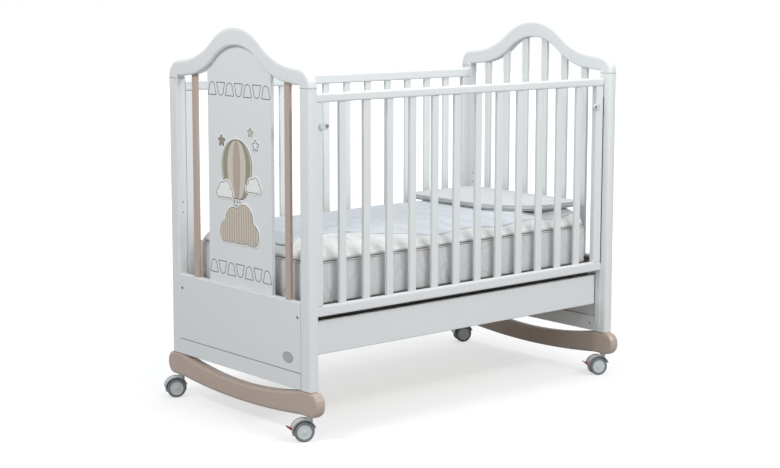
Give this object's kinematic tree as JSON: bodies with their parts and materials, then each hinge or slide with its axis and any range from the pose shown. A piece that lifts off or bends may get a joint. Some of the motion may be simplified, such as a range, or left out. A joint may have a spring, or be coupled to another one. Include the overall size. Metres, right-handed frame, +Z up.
{
  "type": "crib",
  "caption": "Wooden crib with bell-arched ends, a drop side of flat slats, an under-bed drawer, curved rockers on braked casters, and a made-up mattress.",
  "frame": {"origin": "on the floor below the middle of the frame, where the casters' wheels stand", "axes": "+X along the length towards the slatted foot end, +Y across towards the fixed rear side, so the drop side and the drawer face -Y, +Z up"},
  "size_m": [1.3913, 0.8066, 1.231],
  "materials": {
    "white_lacquer": "satin white lacquer over solid beech and board",
    "taupe_lacquer": "satin grey-brown lacquer over beech",
    "birch": "bare sanded birch",
    "pale_plastic": "moulded pale grey plastic, fine matt",
    "dark_plastic": "moulded near-black plastic, fine matt",
    "tyre_rubber": "soft dark grey tread rubber",
    "red_plastic": "moulded dark red plastic, smooth",
    "zinc_steel": "zinc-plated sheet steel",
    "cream_plate": "bare cream oval plate, matt",
    "ticking": "grey woven mattress ticking",
    "linen": "pale bluish cotton, soft"
  },
  "bodies": {
    "crib_frame": {"badge_plate": "cream_plate", "base_ledger_foot": "zinc_steel", "base_ledger_head": "zinc_steel", "caster_socket_foot_front": "pale_plastic", "caster_socket_foot_rear": "pale_plastic", "caster_socket_head_front": "pale_plastic", "caster_socket_head_rear": "pale_plastic", "drawer_runner_foot": "zinc_steel", "drawer_runner_head": "zinc_steel", "duvet": "linen", "folded_quilt": "linen", "foot_arch_rail": "white_lacquer", "foot_bottom_rail": "white_lacquer", "foot_panel_and_slats": "white_lacquer", "foot_post_front": "white_lacquer", "foot_post_rear": "white_lacquer", "guide_track_foot": "dark_plastic", "guide_track_head": "dark_plastic", "head_accent_slat_front": "taupe_lacquer", "head_accent_slat_rear": "taupe_lacquer", "head_arch_rail": "white_lacquer", "head_bottom_rail": "white_lacquer", "head_center_panel": "white_lacquer", "head_lower_panel": "white_lacquer", "head_post_front": "white_lacquer", "head_post_rear": "white_lacquer", "mattress": "ticking", "mattress_base": "birch", "rear_slat_rack": "white_lacquer", "rear_stile_foot": "white_lacquer", "rear_stile_head": "white_lacquer", "rear_top_rail": "white_lacquer", "rocker_foot": "taupe_lacquer", "rocker_head": "taupe_lacquer"},
    "drop_side": {"drop_top_rail": "white_lacquer", "drop_slat_rack": "white_lacquer", "drop_stile_head": "white_lacquer", "drop_stile_foot": "white_lacquer", "catch_housing_head": "pale_plastic", "catch_housing_foot": "pale_plastic"},
    "button_head": {"release_button_head": "dark_plastic"},
    "button_foot": {"release_button_foot": "dark_plastic"},
    "drawer": {"drawer_front": "white_lacquer", "drawer_side_head": "birch", "drawer_side_foot": "birch", "drawer_back": "birch", "drawer_bottom": "birch", "drawer_slide_head": "zinc_steel", "drawer_slide_foot": "zinc_steel"},
    "swivel_head_front": {"caster_head_front": "pale_plastic"},
    "wheel_pair_head_front": {"wheels_head_front": "tyre_rubber"},
    "swivel_head_rear": {"caster_head_rear": "pale_plastic"},
    "wheel_pair_head_rear": {"wheels_head_rear": "tyre_rubber"},
    "swivel_foot_front": {"caster_foot_front": "pale_plastic"},
    "wheel_pair_foot_front": {"wheels_foot_front": "tyre_rubber"},
    "swivel_foot_rear": {"caster_foot_rear": "pale_plastic"},
    "wheel_pair_foot_rear": {"wheels_foot_rear": "tyre_rubber"},
    "lever_head": {"brake_lever_head": "red_plastic"},
    "lever_foot": {"brake_lever_foot": "red_plastic"}
  },
  "joints": [
    {"name": "drop_side_slide", "type": "slide", "parent": "crib_frame", "child": "drop_side", "axis": [0, 0, 1], "range_m": [-0.19, 0]},
    {"name": "release_button_head_press", "type": "slide", "parent": "drop_side", "child": "button_head", "axis": [0, 1, 0], "range_m": [0, 0.003], "stiffness_N_per_m": 400},
    {"name": "release_button_foot_press", "type": "slide", "parent": "drop_side", "child": "button_foot", "axis": [0, 1, 0], "range_m": [0, 0.003], "stiffness_N_per_m": 400},
    {"name": "drawer_slide", "type": "slide", "parent": "crib_frame", "child": "drawer", "axis": [0, -1, 0], "range_m": [0, 0.42]},
    {"name": "swivel_head_front_turn", "type": "hinge", "parent": "crib_frame", "child": "swivel_head_front", "pos_m": [-0.65, -0.3465, 0.09], "axis": [0, 0, 1], "continuous": true},
    {"name": "wheels_head_front_roll", "type": "hinge", "parent": "swivel_head_front", "child": "wheel_pair_head_front", "pos_m": [-0.6685, -0.33768, 0.031], "axis": [-0.4305, -0.9026, 0], "continuous": true},
    {"name": "swivel_head_rear_turn", "type": "hinge", "parent": "crib_frame", "child": "swivel_head_rear", "pos_m": [-0.65, 0.3465, 0.09], "axis": [0, 0, 1], "continuous": true},
    {"name": "wheels_head_rear_roll", "type": "hinge", "parent": "swivel_head_rear", "child": "wheel_pair_head_rear", "pos_m": [-0.6685, 0.35533, 0.031], "axis": [-0.4305, -0.9026, 0], "continuous": true},
    {"name": "brake_lever_head_press", "type": "hinge", "parent": "swivel_head_front", "child": "lever_head", "pos_m": [-0.7038, -0.32084, 0.04075], "axis": [-0.4305, -0.9026, 0], "range_deg": [0, 25]},
    {"name": "swivel_foot_front_turn", "type": "hinge", "parent": "crib_frame", "child": "swivel_foot_front", "pos_m": [0.65, -0.3465, 0.09], "axis": [0, 0, 1], "continuous": true},
    {"name": "wheels_foot_front_roll", "type": "hinge", "parent": "swivel_foot_front", "child": "wheel_pair_foot_front", "pos_m": [0.6315, -0.33768, 0.031], "axis": [-0.4305, -0.9026, 0], "continuous": true},
    {"name": "swivel_foot_rear_turn", "type": "hinge", "parent": "crib_frame", "child": "swivel_foot_rear", "pos_m": [0.65, 0.3465, 0.09], "axis": [0, 0, 1], "continuous": true},
    {"name": "wheels_foot_rear_roll", "type": "hinge", "parent": "swivel_foot_rear", "child": "wheel_pair_foot_rear", "pos_m": [0.6315, 0.35533, 0.031], "axis": [-0.4305, -0.9026, 0], "continuous": true},
    {"name": "brake_lever_foot_press", "type": "hinge", "parent": "swivel_foot_front", "child": "lever_foot", "pos_m": [0.5962, -0.32084, 0.04075], "axis": [-0.4305, -0.9026, 0], "range_deg": [0, 25]}
  ]
}
